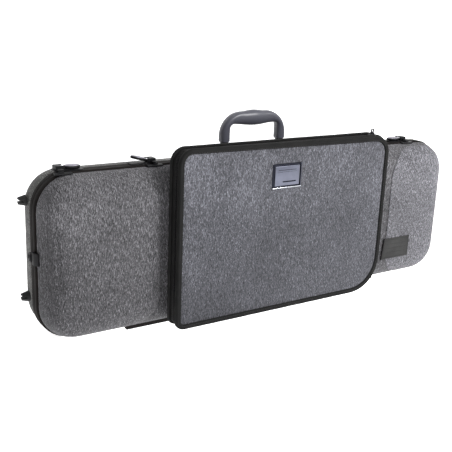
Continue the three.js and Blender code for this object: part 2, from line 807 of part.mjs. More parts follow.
LATCHES.forEach((latch, index) => {
  const number = index + 1;
  const station = subgroup(base, [latch.x, LATCH_Y, 0]);
  add(station, `latch_plate_${number}`, latchPlate(latch.wingSide), DARK_METAL);
  const turned = subgroup(station, [0, 0, 0]);
  const rotor = latchRotor();
  add(turned, `latch_rotor_${number}`, rotor, DARK_METAL);
  const wing = add(turned, `latch_wing_${number}`, latchWing(), NICKEL);
  wing.position.set(latch.wingSide * WING_AXIS_OFFSET, 0, WING_AXIS_Z);
  wing.rotation.set(0, degrees(-latch.wingSide * latch.raised), 0);
  if (latch.wingSide < 0) {
    rotor.scale(-1, 1, 1);
    rotor.index.array.reverse();
    wing.geometry.scale(-1, 1, 1);
    wing.geometry.index.array.reverse();
  }
  add(lid, `keeper_${number}`, keeper(latch.wingSide), DARK_METAL, [latch.x, 0, 0]);
});

[-1, 1].forEach((side, index) => {
  const x = HANDLE_X + side * (HANDLE_WIDTH / 2 - LEG_WIDTH / 2);
  add(base, `handle_mount_${index + 1}`, handleMount(), MOULDED, [x, HANDLE_Y, 0]);
  const pin = rod(1.7, LEG_WIDTH, 'x', 12);
  add(base, `handle_pin_${index + 1}`, pin, NICKEL, [x, HANDLE_Y, HANDLE_PIN_Z]);
});
add(base, 'handle', handle(), MOULDED, [HANDLE_X, HANDLE_Y, HANDLE_PIN_Z]);

const flapEdge = ACCESSORY.x1 + FLAP_MARGIN - 0.5;
add(base, 'accessory_lid', accessoryLid(), PLUSH, [flapEdge, LINING_TOP + GAP, MIDDLE_Z]);

add(lid, 'pocket_tray', pocketTray(), BLACK_CLOTH);
add(lid, 'pocket_back_binding', pocketBackBinding(), BLACK_CLOTH);
const label = upright(roundedShape(63, 37, 2), 0, 1.2, 2);
add(lid, 'woven_label', label, BLACK_CLOTH, [276, -LID_DEPTH - GAP, 63]);
add(cover, 'pocket_cover', pocketCover(), TWEED);
add(cover, 'pocket_front_binding', pocketFrontBinding(), BLACK_CLOTH);
const badgeBack = POCKET_FACE - GAP;
const inlayDepth = 0.8;
const plateDepth = badgeBack - BADGE_FRONT - GAP - inlayDepth;
const badgePlate = upright(roundedShape(55.5, 39, 2), 0, plateDepth, 2, 0.8);
add(cover, 'badge_plate', badgePlate, BADGE_SILVER, [-11, badgeBack, 229]);
const inlay = upright(roundedShape(47, 30.5, 1), 0, inlayDepth, 2);
add(cover, 'badge_inlay', inlay, BADGE_SILVER, [-11, BADGE_FRONT + inlayDepth, 229]);
add(lid, 'zip_slider', zipSlider(), NICKEL, [ZIP_X, POCKET_SPLIT, 0]);
add(lid, 'zip_pull', zipPull(), NICKEL, [ZIP_X, POCKET_SPLIT, ZIP_PIVOT_Z]);

export default object;
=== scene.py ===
import json
import math

import bmesh
import bpy
import numpy as np
from mathutils import Matrix, Vector, noise

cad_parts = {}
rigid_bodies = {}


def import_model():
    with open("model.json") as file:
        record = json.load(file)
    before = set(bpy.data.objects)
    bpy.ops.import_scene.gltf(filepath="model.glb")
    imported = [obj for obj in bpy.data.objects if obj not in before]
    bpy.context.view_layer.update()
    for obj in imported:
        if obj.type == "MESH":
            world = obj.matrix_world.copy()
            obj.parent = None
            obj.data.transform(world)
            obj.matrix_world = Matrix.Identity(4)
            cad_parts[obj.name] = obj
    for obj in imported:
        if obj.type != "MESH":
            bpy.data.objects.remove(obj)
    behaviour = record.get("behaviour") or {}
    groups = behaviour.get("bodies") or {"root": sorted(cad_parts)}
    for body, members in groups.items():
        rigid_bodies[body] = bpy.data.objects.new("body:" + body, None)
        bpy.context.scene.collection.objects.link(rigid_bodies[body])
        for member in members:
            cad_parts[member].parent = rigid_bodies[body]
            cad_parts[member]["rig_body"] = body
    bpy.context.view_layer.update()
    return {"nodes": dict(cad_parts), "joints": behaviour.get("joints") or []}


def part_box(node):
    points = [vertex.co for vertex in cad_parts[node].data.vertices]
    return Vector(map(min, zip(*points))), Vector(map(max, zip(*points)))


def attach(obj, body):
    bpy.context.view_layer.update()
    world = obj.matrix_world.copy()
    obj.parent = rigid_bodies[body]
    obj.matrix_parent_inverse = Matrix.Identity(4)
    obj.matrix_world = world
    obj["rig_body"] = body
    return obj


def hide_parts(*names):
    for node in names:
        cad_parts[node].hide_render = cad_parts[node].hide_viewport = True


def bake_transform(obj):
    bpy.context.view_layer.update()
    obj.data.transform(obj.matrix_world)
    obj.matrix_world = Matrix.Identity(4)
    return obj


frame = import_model()

MM = 0.001

# ---- Places and sizes that the frame gives ----
RIM_LOW, RIM_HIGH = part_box("base_rim")
BIND_LOW, BIND_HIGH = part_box("pocket_front_binding")
SHIFT_X = (RIM_LOW.x + RIM_HIGH.x) / 2
GROUND_TO_RIM = RIM_LOW.z
MIDDLE_Z = (RIM_LOW.z + RIM_HIGH.z) / 2

CORNER = 55 * MM
RIM_PROUD = 2.6 * MM
WALL = 5 * MM
POCKET_RADII = [r * MM for r in (60, 30, 24, 14)]


def plan(low, high, radii):
    """A rounded rectangle in X and Z; radii run anticlockwise from the lower right corner."""
    return {"x": (low.x, high.x), "z": (low.z, high.z), "radii": radii}


def rectangle(x, z, radius):
    """A rounded rectangle from its two spans, with the same radius at each corner."""
    return {"x": x, "z": z, "radii": [radius] * 4}


CASE = plan(RIM_LOW, RIM_HIGH, [CORNER] * 4)
POCKET = plan(BIND_LOW, BIND_HIGH, POCKET_RADII)


# ---- Materials ----
class Graph:
    """One node material. Each call adds a node and gives back the socket that is wanted."""

    def __init__(self, name):
        self.material = bpy.data.materials.new(name)
        self.material.use_nodes = True
        self.tree = self.material.node_tree
        self.tree.nodes.clear()
        self.place = self.add("TexCoord", out="Object")

    def add(self, kind, inputs=None, out=0, **settings):
        """A node of that kind; gives back one of its outputs, where it has any."""
        node = self.tree.nodes.new("ShaderNode" + kind)
        for key, value in settings.items():
            setattr(node, key, value)
        for key, value in (inputs or {}).items():
            if isinstance(value, bpy.types.NodeSocket):
                self.tree.links.new(value, node.inputs[key])
            else:
                node.inputs[key].default_value = value
        return node.outputs[out] if node.outputs else None

    def along(self, axis):
        """How far a point lies along X, Y or Z."""
        return self.add("SeparateXYZ", {0: self.place}, out=axis)

    def math(self, operation, a, b=0.0):
        return self.add("Math", {0: a, 1: b}, operation=operation)

    def noise(self, scale, stretch=(1, 1, 1), detail=2.0, roughness=0.5):
        inputs = {
            "Vector": self.add("Mapping", {"Vector": self.place, "Scale": stretch}),
            "Scale": scale,
            "Detail": detail,
            "Roughness": roughness,
        }
        return self.add("TexNoise", inputs)

    def cells(self, scale):
        return self.add("TexVoronoi", {"Vector": self.place, "Scale": scale})

    def threads(self, axis, pitch):
        """A row of round threads across an axis, from 0 in the grooves to 1 on top."""
        turns = self.math("MULTIPLY", self.along(axis), math.pi / pitch)
        return self.math("ABSOLUTE", self.math("SINE", turns))

    def ramp(self, value, stops):
        node = self.tree.nodes.new("ShaderNodeValToRGB")
        self.tree.links.new(value, node.inputs[0])
        elements = node.color_ramp.elements
        while len(elements) < len(stops):
            elements.new(0.5)
        for element, (position, colour) in zip(elements, stops):
            element.position = position
            element.color = (*colour, 1)
        return node.outputs[0]

    def spread(self, value, low, high):
        """A value from 0 to 1 carried to the range low to high."""
        return self.add("MapRange", {"Value": value, "To Min": low, "To Max": high})

    def mix(self, factor, a, b):
        """One colour turned into another; the node's colour sockets are its seventh and eighth."""
        return self.add("Mix", {0: factor, 6: a, 7: b}, out=2, data_type="RGBA")

    def finish(self, colour, roughness, height=None, depth=0.3 * MM, strength=0.5, **fixed):
        """The shader and its bump; fixed names the sockets that are the same all over."""
        inputs = {"Base Color": colour, "Roughness": roughness}
        inputs.update({key.replace("_", " "): value for key, value in fixed.items()})
        if height is not None:
            bump = {"Height": height, "Strength": strength, "Distance": depth}
            inputs["Normal"] = self.add("Bump", bump)
        self.add("OutputMaterial", {"Surface": self.add("BsdfPrincipled", inputs)})
        return self.material


def grey(value, tint=(1, 1, 1)):
    """A grey of that strength, or a tint or colour scaled by it."""
    return tuple(value * t for t in tint)


# Painted shade: every tweed darkens below this height, standing in for weaker lamp light low down.
LOW_SHADE_TOP_Z = 210 * MM
LOW_SHADE_PER_METRE = 0.18
SHADE_DEPTH = -0.015


def tweed(name, tint, levels, fine, streak, shade=None):
    """Salt-and-pepper woven cloth; levels run from dark to light.

    Its warp runs over the case from front to back, and upright on the ends. Painted shade makes
    it a little darker down from a set height, where less lamp light falls. Where shade is given,
    it also gets painted shade, darker from the first X to the second.
    """
    dark, middle, light = levels
    g = Graph(name)
    sideways = g.add("SeparateXYZ", {0: g.add("TexCoord", out="Normal")}, out="X")
    turned = {"Value": g.math("ABSOLUTE", sideways), "From Min": 0.6, "From Max": 0.85}
    ends = g.add("MapRange", turned)

    def grain(scale, warp, *fineness):
        over = g.noise(scale, (1, warp, warp), *fineness)
        upright = g.noise(scale, (1, 1, warp), *fineness)
        return g.add("Mix", {0: ends, 2: over, 3: upright})

    slub = grain(fine, 0.24, 3, 0.6)
    speckle = grain(fine * 1.7, 0.45, 1.5)
    streaks = grain(fine * 0.85, 0.12, 2, 0.6)
    cloud = g.noise(9, detail=2)
    weights = ((slub, 0.5), (speckle, 0.3), (streaks, streak), (cloud, 0.1))
    value = 0.0
    for part, weight in weights:
        value = g.math("ADD", value, g.math("MULTIPLY", part, weight))
    centre = sum(weight for _, weight in weights) / 2
    # painted shade, darker below the set height
    below = g.math("MINIMUM", g.math("SUBTRACT", g.along("Z"), LOW_SHADE_TOP_Z), 0.0)
    value = g.math("ADD", value, g.math("MULTIPLY", below, LOW_SHADE_PER_METRE))
    # painted shade: darker along X, for the pocket's shadow on the cloth beside it
    if shade:
        start, end = shade
        shaded = {"Value": g.along("X"), "From Min": start, "From Max": end, "To Max": SHADE_DEPTH}
        value = g.math("ADD", value, g.add("MapRange", shaded))
    stops = [
        (centre - 0.13, grey(dark, tint)),
        (centre - 0.03, grey(middle * 0.75, tint)),
        (centre + 0.02, grey(middle, tint)),
        (centre + 0.12, grey(light, tint)),
    ]
    colour = g.ramp(value, stops)
    weave = g.math("MULTIPLY", g.threads("X", 1.1 * MM), g.threads("Z", 1.3 * MM))
    grooves = g.mix(g.spread(weave, 0.4, 0.0), colour, (*grey(dark * 0.6, tint), 1))
    height = g.math("ADD", g.math("MULTIPLY", weave, 0.5), value)
    return g.finish(
        grooves,
        g.spread(speckle, 0.78, 0.98),
        height,
        depth=0.5 * MM,
        strength=0.6,
        Sheen_Weight=0.1,
        Sheen_Roughness=0.5,
        Specular_IOR_Level=0.2,
    )


def woven_black(name, level, pitch=0.9 * MM):
    """Black tape or pack cloth."""
    g = Graph(name)
    dust = g.noise(35, detail=4)
    fibre = g.noise(1100, detail=2)
    weave = g.math("MULTIPLY", g.threads("X", pitch), g.threads("Z", pitch))
    colour = g.ramp(dust, [(0.3, grey(level * 0.75)), (0.75, grey(level * 1.35, (1, 0.99, 0.97)))])
    colour = g.mix(g.spread(fibre, 0.0, 0.5), colour, (*grey(level * 2.1), 1))
    height = g.math("ADD", g.math("MULTIPLY", weave, 0.7), g.math("MULTIPLY", fibre, 0.5))
    return g.finish(
        colour,
        g.spread(fibre, 0.7, 0.95),
        height,
        depth=0.4 * MM,
        Sheen_Weight=0.02,
        Specular_IOR_Level=0.07,
    )


def grained(name, colour, low, high, scale=700, depth=0.15 * MM, **fixed):
    """Moulded plastic or leatherette with a fine pebble grain."""
    g = Graph(name)
    pebbles = g.cells(scale)
    wear = g.noise(18, detail=5, roughness=0.65)
    worn = g.mix(g.spread(wear, 0.0, 0.35), (*colour, 1), (*grey(1.9, colour), 1))
    height = g.math("ADD", pebbles, g.math("MULTIPLY", wear, 0.3))
    return g.finish(worn, g.spread(wear, low, high), height, depth=depth, strength=0.4, **fixed)


def metal(name, colour, low, high, grain=(1, 0.06, 1)):
    """Plated metal with fine polishing lines and faint handling marks."""
    g = Graph(name)
    lines = g.noise(1600, grain, 2)
    marks = g.noise(60, detail=5, roughness=0.7)
    tone = g.ramp(marks, [(0.3, grey(0.8, colour)), (0.6, colour)])
    gloss = g.math("ADD", g.spread(lines, low, high), g.math("MULTIPLY", marks, 0.12))
    return g.finish(tone, gloss, lines, depth=0.06 * MM, strength=0.25, Metallic=1.0)


def velour(name, colour):
    """Short-pile lining, with the nap brushed both ways in patches."""
    g = Graph(name)
    nap = g.noise(26, (1, 1, 1.6), 3, 0.6)
    pile = g.noise(1500, detail=2)
    tone = g.ramp(nap, [(0.35, grey(0.6, colour)), (0.65, grey(1.25, colour))])
    tone = g.mix(g.spread(pile, 0.0, 0.4), tone, (*grey(1.9, colour), 1))
    return g.finish(
        tone,
        g.spread(pile, 0.85, 1.0),
        g.math("ADD", pile, g.math("MULTIPLY", nap, 2.0)),
        depth=0.6 * MM,
        Sheen_Weight=0.8,
        Sheen_Roughness=0.35,
        Specular_IOR_Level=0.2,
    )


FINE = 1250
PLAIN_TWEED = ((1.0, 0.98, 1.05), (0.016, 0.1, 0.38), FINE, 0.34)
SHADE_START, SHADE_END = SHIFT_X - 252 * MM, SHIFT_X - 222 * MM
CASE_TWEED = tweed("case_tweed", *PLAIN_TWEED)
BASE_TWEED = tweed("base_tweed", (1.0, 1.0, 0.97), (0.022, 0.135, 0.5), FINE, 0.34)
# Painted light: a lighter copy of the case tweed for the right pad, which the key lamp lights more.
LIT_TWEED = tweed("case_tweed_painted_light", (0.99, 0.98, 1.08), (0.021, 0.155, 0.6), FINE, 0.36)
# Painted shade: a copy of the case tweed that darkens from SHADE_START to SHADE_END, for the pocket's
# shadow beside it.
SHADE_TWEED = tweed("case_tweed_painted_shade", *PLAIN_TWEED, (SHADE_START, SHADE_END))
POCKET_TWEED = tweed("pocket_tweed", (0.97, 0.98, 1.12), (0.016, 0.1, 0.37), FINE, 0.2)
BINDING = woven_black("binding_cloth", 0.014)
FRONT_BINDING = woven_black("front_binding_cloth", 0.011)
GUSSET = woven_black("gusset_cloth", 0.012, 0.6 * MM)
THREAD = woven_black("thread", 0.03, 0.3 * MM)
LABEL = woven_black("label_cloth", 0.035, 0.8 * MM)
RIM = grained("rim_black", (0.011, 0.0095, 0.009), 0.6, 0.8, Specular_IOR_Level=0.08)
HANDLE = grained("handle_plastic", (0.062, 0.063, 0.079), 0.27, 0.44, 1100, 0.08 * MM)
ENAMEL_BLACK = (0.006, 0.006, 0.007)
SMOOTH_BLACK = grained(
    "black_enamel", ENAMEL_BLACK, 0.38, 0.55, 900, 0.06 * MM, Specular_IOR_Level=0.16
)
RUBBER = grained("rubber", (0.012, 0.012, 0.013), 0.6, 0.85, 1400, 0.1 * MM)
DARK_METAL = metal("dark_metal", (0.055, 0.055, 0.062), 0.25, 0.4)
NICKEL = metal("nickel", (0.6, 0.6, 0.62), 0.12, 0.26)
SATIN = metal("satin_nickel", (0.3, 0.29, 0.33), 0.3, 0.42)
BRUSHED_LEVEL = (0.05, 1, 1)
BADGE = metal("badge_metal", (0.15, 0.157, 0.2), 0.28, 0.42, BRUSHED_LEVEL)
# Painted reflection: dark and bright copies of the badge metal stand for what the frame and the lower
# bevel reflect.
BADGE_FRAME_SHADED = metal("badge_frame", (0.035, 0.037, 0.05), 0.3, 0.45, BRUSHED_LEVEL)
BADGE_FLOOR_REFLECTION = metal("badge_bevel", (0.5, 0.51, 0.55), 0.16, 0.28, BRUSHED_LEVEL)
BADGE_DARK = metal("badge_groove", (0.02, 0.022, 0.03), 0.35, 0.5)
PLUSH = velour("plush", (0.05, 0.062, 0.09))


# ---- Mesh tools ----
def new_object(name, mesh, finish, sharp=40):
    """A smooth-shaded object; edges turning by more than sharp degrees stay crisp."""
    mesh.materials.append(finish)
    mesh.polygons.foreach_set("use_smooth", [True] * len(mesh.polygons))
    mesh.set_sharp_from_angle(angle=math.radians(sharp))
    piece = bpy.data.objects.new(name, mesh)
    bpy.context.scene.collection.objects.link(piece)
    return piece


def from_arrays(name, vertices, faces, finish, sharp=40):
    """An object from points and faces, with its faces turned to look out."""
    mesh = bpy.data.meshes.new(name)
    mesh.from_pydata([tuple(v) for v in vertices], [], [tuple(int(i) for i in f) for f in faces])
    tidy = bmesh.new()
    tidy.from_mesh(mesh)
    bmesh.ops.recalc_face_normals(tidy, faces=tidy.faces)
    tidy.to_mesh(mesh)
    tidy.free()
    return new_object(name, mesh, finish, sharp)


def place(piece, body, slot, *nodes):
    """Puts a piece on its body and hides the CAD nodes it stands for; slot is not used."""
    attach(piece, body)
    if nodes:
        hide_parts(*nodes)
    return piece


def outline(shape, inset, corner_steps=10, run_x=28, run_z=10):
    """Points (x, z) of a rounded rectangle, the same number at any inset."""
    points = []
    turns = [(1, -1, 270), (1, 1, 0), (-1, 1, 90), (-1, -1, 180)]
    for index, (side_x, side_z, start) in enumerate(turns):
        radius = max(shape["radii"][index] - inset, 0.4 * MM)
        centre_x = shape["x"][side_x > 0] - side_x * (inset + radius)
        centre_z = shape["z"][side_z > 0] - side_z * (inset + radius)
        for i in range(corner_steps + 1):
            angle = math.radians(start + 90 * i / corner_steps)
            points.append((centre_x + radius * math.cos(angle), centre_z + radius * math.sin(angle)))
    filled = []
    per_corner = corner_steps + 1
    for index in range(4):
        corner = points[index * per_corner : (index + 1) * per_corner]
        after = points[((index + 1) % 4) * per_corner]
        run = run_z if index in (0, 2) else run_x
        filled.extend(corner)
        for i in range(1, run):
            t = i / run
            filled.append(tuple(a + (b - a) * t for a, b in zip(corner[-1], after)))
    return np.array(filled)


def ring(shape, inset, y, **steps):
    """The outline at one Y, as points (x, y, z)."""
    flat = outline(shape, inset, **steps)
    return np.column_stack([flat[:, 0], np.full(len(flat), y), flat[:, 1]])


def loft(name, rings, finish, closed=False, sharp=40):
    """A skin over rings of points: closed joins the last to the first, and otherwise both are capped."""
    count = len(rings[0])
    vertices = np.concatenate(rings)
    faces = []
    bands = len(rings) if closed else len(rings) - 1
    for band in range(bands):
        here, there = band * count, ((band + 1) % len(rings)) * count
        for i in range(count):
            j = (i + 1) % count
            faces.append((here + i, here + j, there + j, there + i))
    if not closed:
        last = (len(rings) - 1) * count
        faces.append(range(count))
        faces.append(range(last, last + count))
    return from_arrays(name, vertices, faces, finish, sharp)


def fillet(points, radius, steps=4):
    """A closed profile with its corners rounded; radius is one number or one for each corner."""
    radii = radius if hasattr(radius, "__len__") else [radius] * len(points)
    rounded = []
    for i, r in enumerate(radii):
        before, here, after = (np.array(points[(i + k) % len(points)], float) for k in (-1, 0, 1))
        to_before, to_after = before - here, after - here
        reach = min(r, 0.45 * np.linalg.norm(to_before), 0.45 * np.linalg.norm(to_after))
        if reach < 1e-6:
            rounded.append(here)
            continue
        a = here + to_before / np.linalg.norm(to_before) * reach
        b = here + to_after / np.linalg.norm(to_after) * reach
        for k in range(steps + 1):
            t = k / steps
            rounded.append((1 - t) ** 2 * a + 2 * t * (1 - t) * here + t * t * b)
    return rounded


def band(name, shape, profile, finish, ripple=0.0, **steps):
    """A frame that follows an outline; the profile's points are (inset, y). Ripple makes it wave."""
    rings = [ring(shape, inset, y, **steps) for inset, y in profile]
    if ripple:
        for points in rings:
            for p in points:
                p[1] += ripple * noise.noise(Vector(p) * 90)
                p[2] += ripple * noise.noise(Vector(p) * 70 + Vector((5, 3, 1)))
    return loft(name, rings, finish, closed=True)


def refine(node, finish, slot, bevel, segments=2):
    """A copy of a CAD node with rounded edges, which stands for it."""
    source = frame["nodes"][node]
    work = bmesh.new()
    work.from_mesh(source.data)
    bmesh.ops.remove_doubles(work, verts=work.verts, dist=1e-6)
    flat, crisp = math.radians(1), math.radians(32)
    bmesh.ops.dissolve_limit(work, angle_limit=flat, verts=work.verts, edges=work.edges)
    edges = [e for e in work.edges if len(e.link_faces) == 2 and e.calc_face_angle(0) > crisp]
    bmesh.ops.bevel(
        work,
        geom=edges,
        offset=bevel,
        segments=segments,
        profile=0.6,
        affect="EDGES",
        clamp_overlap=True,
    )
    mesh = bpy.data.meshes.new(node + "_shape")
    work.to_mesh(mesh)
    work.free()
    piece = new_object(node + "_shape", mesh, finish, 35)
    place(piece, source["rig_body"], slot, node)


def applied(piece):
    """Bakes a piece's modifiers into its mesh."""
    graph = bpy.context.evaluated_depsgraph_get()
    mesh = bpy.data.meshes.new_from_object(piece.evaluated_get(graph))
    piece.modifiers.clear()
    piece.data = mesh
    return piece


def soften(node, finish, slot, voxel, passes):
    """A padded copy of a CAD node: its edges rounded over as foam under cloth."""
    source = frame["nodes"][node]
    piece = bpy.data.objects.new(node + "_soft", source.data.copy())
    bpy.context.scene.collection.objects.link(piece)
    remesh = piece.modifiers.new("remesh", "REMESH")
    remesh.mode = "VOXEL"
    remesh.voxel_size = voxel
    smooth = piece.modifiers.new("smooth", "SMOOTH")
    smooth.factor = 0.5
    smooth.iterations = passes
    applied(piece)
    piece.data.materials.clear()
    piece.data.materials.append(finish)
    piece.data.polygons.foreach_set("use_smooth", [True] * len(piece.data.polygons))
    place(piece, source["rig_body"], slot, node)


def resample(points, spacing, closed=False):
    """Evenly spaced points and directions along a line."""
    points = np.asarray(points, float)
    if closed:
        points = np.vstack([points, points[:1]])
    steps = np.linalg.norm(np.diff(points, axis=0), axis=1)
    along = np.concatenate([[0], np.cumsum(steps)])
    count = max(2, int(along[-1] / spacing))
    marks = (np.arange(count) + 0.5) * along[-1] / count
    places = np.column_stack([np.interp(marks, along, points[:, k]) for k in range(3)])
    ahead = np.column_stack([np.interp(marks + spacing * 0.1, along, points[:, k]) for k in range(3)])
    behind = np.column_stack([np.interp(marks - spacing * 0.1, along, points[:, k]) for k in range(3)])
    directions = ahead - behind
    return places, directions / np.linalg.norm(directions, axis=1)[:, None]


def bead(length, width, height, sides=6):
    """A small rounded grain along local X, with its middle at the origin."""
    vertices, faces = [], []
    stations = [(-0.5, 0.35), (-0.38, 0.85), (0, 1), (0.38, 0.85), (0.5, 0.35)]
    for along, size in stations:
        for k in range(sides):
            angle = 2 * math.pi * k / sides
            across = 0.5 * width * size * math.cos(angle)
            up = 0.5 * height * size * math.sin(angle)
            vertices.append((along * length, across, up))
    for s in range(len(stations) - 1):
        for k in range(sides):
            j = (k + 1) % sides
            faces.append((s * sides + k, s * sides + j, (s + 1) * sides + j, (s + 1) * sides + k))
    faces.append(tuple(range(sides)))
    faces.append(tuple(range((len(stations) - 1) * sides, len(stations) * sides)))
    return np.array(vertices), faces


def scatter(name, template, places, directions, outward, finish):
    """Copies of a template in one mesh, each along its direction with local Z outward."""
    vertices, faces = template
    every, all_faces = [], []
    outward = np.broadcast_to(np.asarray(outward, float), places.shape)
    side = np.cross(outward, directions)
    side /= np.linalg.norm(side, axis=1)[:, None]
    up = np.cross(directions, side)
    for i, origin in enumerate(places):
        axes = np.array([directions[i], side[i], up[i]])
        every.append(origin + vertices @ axes)
        all_faces.extend([tuple(v + i * len(vertices) for v in f) for f in faces])
    return from_arrays(name, np.concatenate(every), all_faces, finish, 80)


def stitch_row(name, points, closed=True, length=3.0 * MM, gap=1.2 * MM):
    """Stitches of thread along a line on a face that looks to the front."""
    places, directions = resample(points, length + gap, closed)
    return scatter(name, bead(length, 0.7 * MM, 0.7 * MM), places, directions, (0, -1, 0), THREAD)


def squared(angle, power):
    """Cosine and sine with both drawn out by a power below 1, which squares a circle off."""
    return [math.copysign(abs(s) ** power, s) for s in (math.cos(angle), math.sin(angle))]


# ---- Shells and rims ----
def bowl_rings(shape, inset, start, straight, face, rounding, steps=12, tuck=0.0):
    """Rings from a shell's mouth at start, past its straight wall, round to its face."""
    toward = 1 if face > start else -1
    rings = [ring(shape, inset + tuck, start), ring(shape, inset, start + toward * 1.2 * MM)]
    for i in range(steps + 1):
        angle = math.radians(90 * i / steps)
        y = straight + (face - straight) * math.sin(angle)
        rings.append(ring(shape, inset + rounding * (1 - math.cos(angle)), y))
    return rings


def undulate(rings, depth, scale):
    """Moves rings in Y by soft waves, because cloth over padding is never quite flat."""
    for points in rings:
        for p in points:
            p[1] += depth * noise.noise(Vector((p[0] * scale, 0, p[2] * scale)))


def shell(name, node, body, finish, straight, rounding):
    """One half of the case: a bowl with an outer skin of cloth and an inner face."""
    low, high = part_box(node)
    outside = 1 if high.y + low.y > 0 else -1
    start, face = (low.y, high.y) if outside > 0 else (high.y, low.y)
    outer = bowl_rings(CASE, RIM_PROUD, start, straight, face, rounding, tuck=0.9 * MM)
    edge = RIM_PROUD + rounding
    spread_in = [ring(CASE, edge + step * 9 * MM, face) for step in range(1, 7)]
    undulate(spread_in, 0.5 * MM, 14)
    inner_face = face - outside * WALL
    inner_rounding = rounding - 4 * MM
    inner = bowl_rings(CASE, RIM_PROUD + WALL, start, straight, inner_face, inner_rounding, 8)
    rings = [*reversed(inner), *outer, *spread_in]
    place(loft(name, rings, finish), body, "case_tweed", node)


LID_STRAIGHT, LID_ROUND, LID_FACE = -11 * MM, 38 * MM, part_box("lid_shell")[0].y


def lid_surface(x, z):
    """The Y of the lid's outside over a point of its plan."""
    half_x = (CASE["x"][1] - CASE["x"][0]) / 2 - CORNER
    half_z = (CASE["z"][1] - CASE["z"][0]) / 2 - CORNER
    over_x = abs(x - SHIFT_X) - half_x
    over_z = abs(z - MIDDLE_Z) - half_z
    outside = math.hypot(max(over_x, 0), max(over_z, 0)) + min(max(over_x, over_z), 0)
    depth = (CORNER - outside - RIM_PROUD) / LID_ROUND
    if depth >= 1:
        return LID_FACE
    sine = math.sqrt(max(0.0, 1 - (1 - max(depth, 0)) ** 2))
    return LID_STRAIGHT + (LID_FACE - LID_STRAIGHT) * sine


def lid_patch(name, shape, finish, levels, **steps):
    """Cloth that follows the lid; levels are (inset from its edge, height over the lid)."""
    rings = []
    buried = [(inset, -1.2) for inset in sorted({level[0] for level in levels}, reverse=True)]
    for inset, height in buried + levels:
        points = ring(shape, inset * MM, 0.0, **steps)
        for p in points:
            p[1] = lid_surface(p[0], p[2]) - height * MM
        rings.append(points)
    undulate(rings[len(buried) + 1 :], 0.4 * MM, 16)
    return place(loft(name, rings, finish), "lid", "case_tweed")


def make_pads():
    """The lid's foam stands proud beside the pocket, with the cloth pressed down in between, which
    carries painted shade from the pocket; the right pad's cloth is a lighter copy, painted light.
    """
    span_z = (CASE["z"][0] + 7 * MM, CASE["z"][1] - 6 * MM)
    sides = [
        ("left", CASE["x"][0] + 6 * MM, SHIFT_X - 216 * MM, 2.8, CASE_TWEED),
        # the right pad gets the lighter copy of the tweed, painted light
        ("right", SHIFT_X + 250 * MM, CASE["x"][1] - 6 * MM, 1.1, LIT_TWEED),
    ]
    for name, start, end, rise, finish in sides:
        shape = rectangle((start, end), span_z, 52 * MM)
        levels = [(0, 1.0), (0.8, 0.9 + 0.1 * rise), (2, 0.7 + 0.4 * rise), (4, 0.4 + 0.75 * rise)]
        levels += [(inset, 0.2 + rise) for inset in (8, 14, 22, 32, 44)]
        pad = lid_patch(f"lid_pad_{name}", shape, finish, levels)
    # The pressed strip between the left pad and the pocket carries painted shade from the pocket.
    strip = rectangle((SHADE_START, SHIFT_X - 196 * MM), span_z, 2 * MM)
    levels = [(0, 0.3)] + [(inset, 0.6) for inset in (1, 8, 16, 25)]
    lid_patch("lid_pressed_cloth_painted_shade", strip, SHADE_TWEED, levels, run_x=6, run_z=44)


def make_shells():
    shell("lid_cloth", "lid_shell", "lid", CASE_TWEED, LID_STRAIGHT, LID_ROUND)
    shell("base_cloth", "base_shell", "base", BASE_TWEED, 28 * MM, 50 * MM)


def make_rims():
    """The base's rim has a lip over the cloth's edge, and a tongue in the rebate of the lid's."""
    inner = RIM_PROUD + WALL
    lip, rebate, tongue = RIM_PROUD - 0.2 * MM, 5.2 * MM, 5.6 * MM
    parting = 0.25 * MM
    base = [
        (0, parting),
        (0, 9.5 * MM),
        (lip, 9.5 * MM),
        (lip, 5 * MM),
        (inner, 5 * MM),
        (inner, -3.5 * MM),
        (tongue, -3.5 * MM),
        (tongue, parting),
    ]
    rounding = [1.1 * MM, 1.2 * MM, 0.3 * MM, 0, 0, 0.7 * MM, 0.7 * MM, 0]
    piece = band("base_rim_profile", CASE, fillet(base, rounding), RIM)
    place(piece, "base", "rim_black", "base_rim")
    lid = [
        (0, -parting),
        (0, -9 * MM),
        (inner, -9 * MM),
        (inner, -4 * MM),
        (rebate, -4 * MM),
        (rebate, -parting),
    ]
    piece = band("lid_rim_profile", CASE, fillet(lid, [1.1 * MM, 1.8 * MM, 0, 0, 0, 0]), RIM)
    place(piece, "lid", "rim_black", "lid_rim")


# ---- Music pocket ----
def sag(piece):
    """The soft front leans: its upper edge is higher at the left and drops at the right."""
    low_z, high_z = MIDDLE_Z, POCKET["z"][1]
    for vertex in piece.data.vertices:
        x, y, z = vertex.co
        across = (x - POCKET["x"][0]) / (POCKET["x"][1] - POCKET["x"][0])
        up = min(1.0, max(0.0, (z - low_z) / (high_z - low_z)))
        out = min(1.0, max(0.0, (SAG_START_Y - y) / (SAG_START_Y - PANEL_Y)))
        vertex.co.z += (1.6 - 5.6 * across) * MM * up * up * out
    return piece


GUSSET_INSET = 4 * MM
ZIP_Y = -62 * MM
SAG_START_Y = -68.4 * MM
PANEL_Y = -74.5 * MM


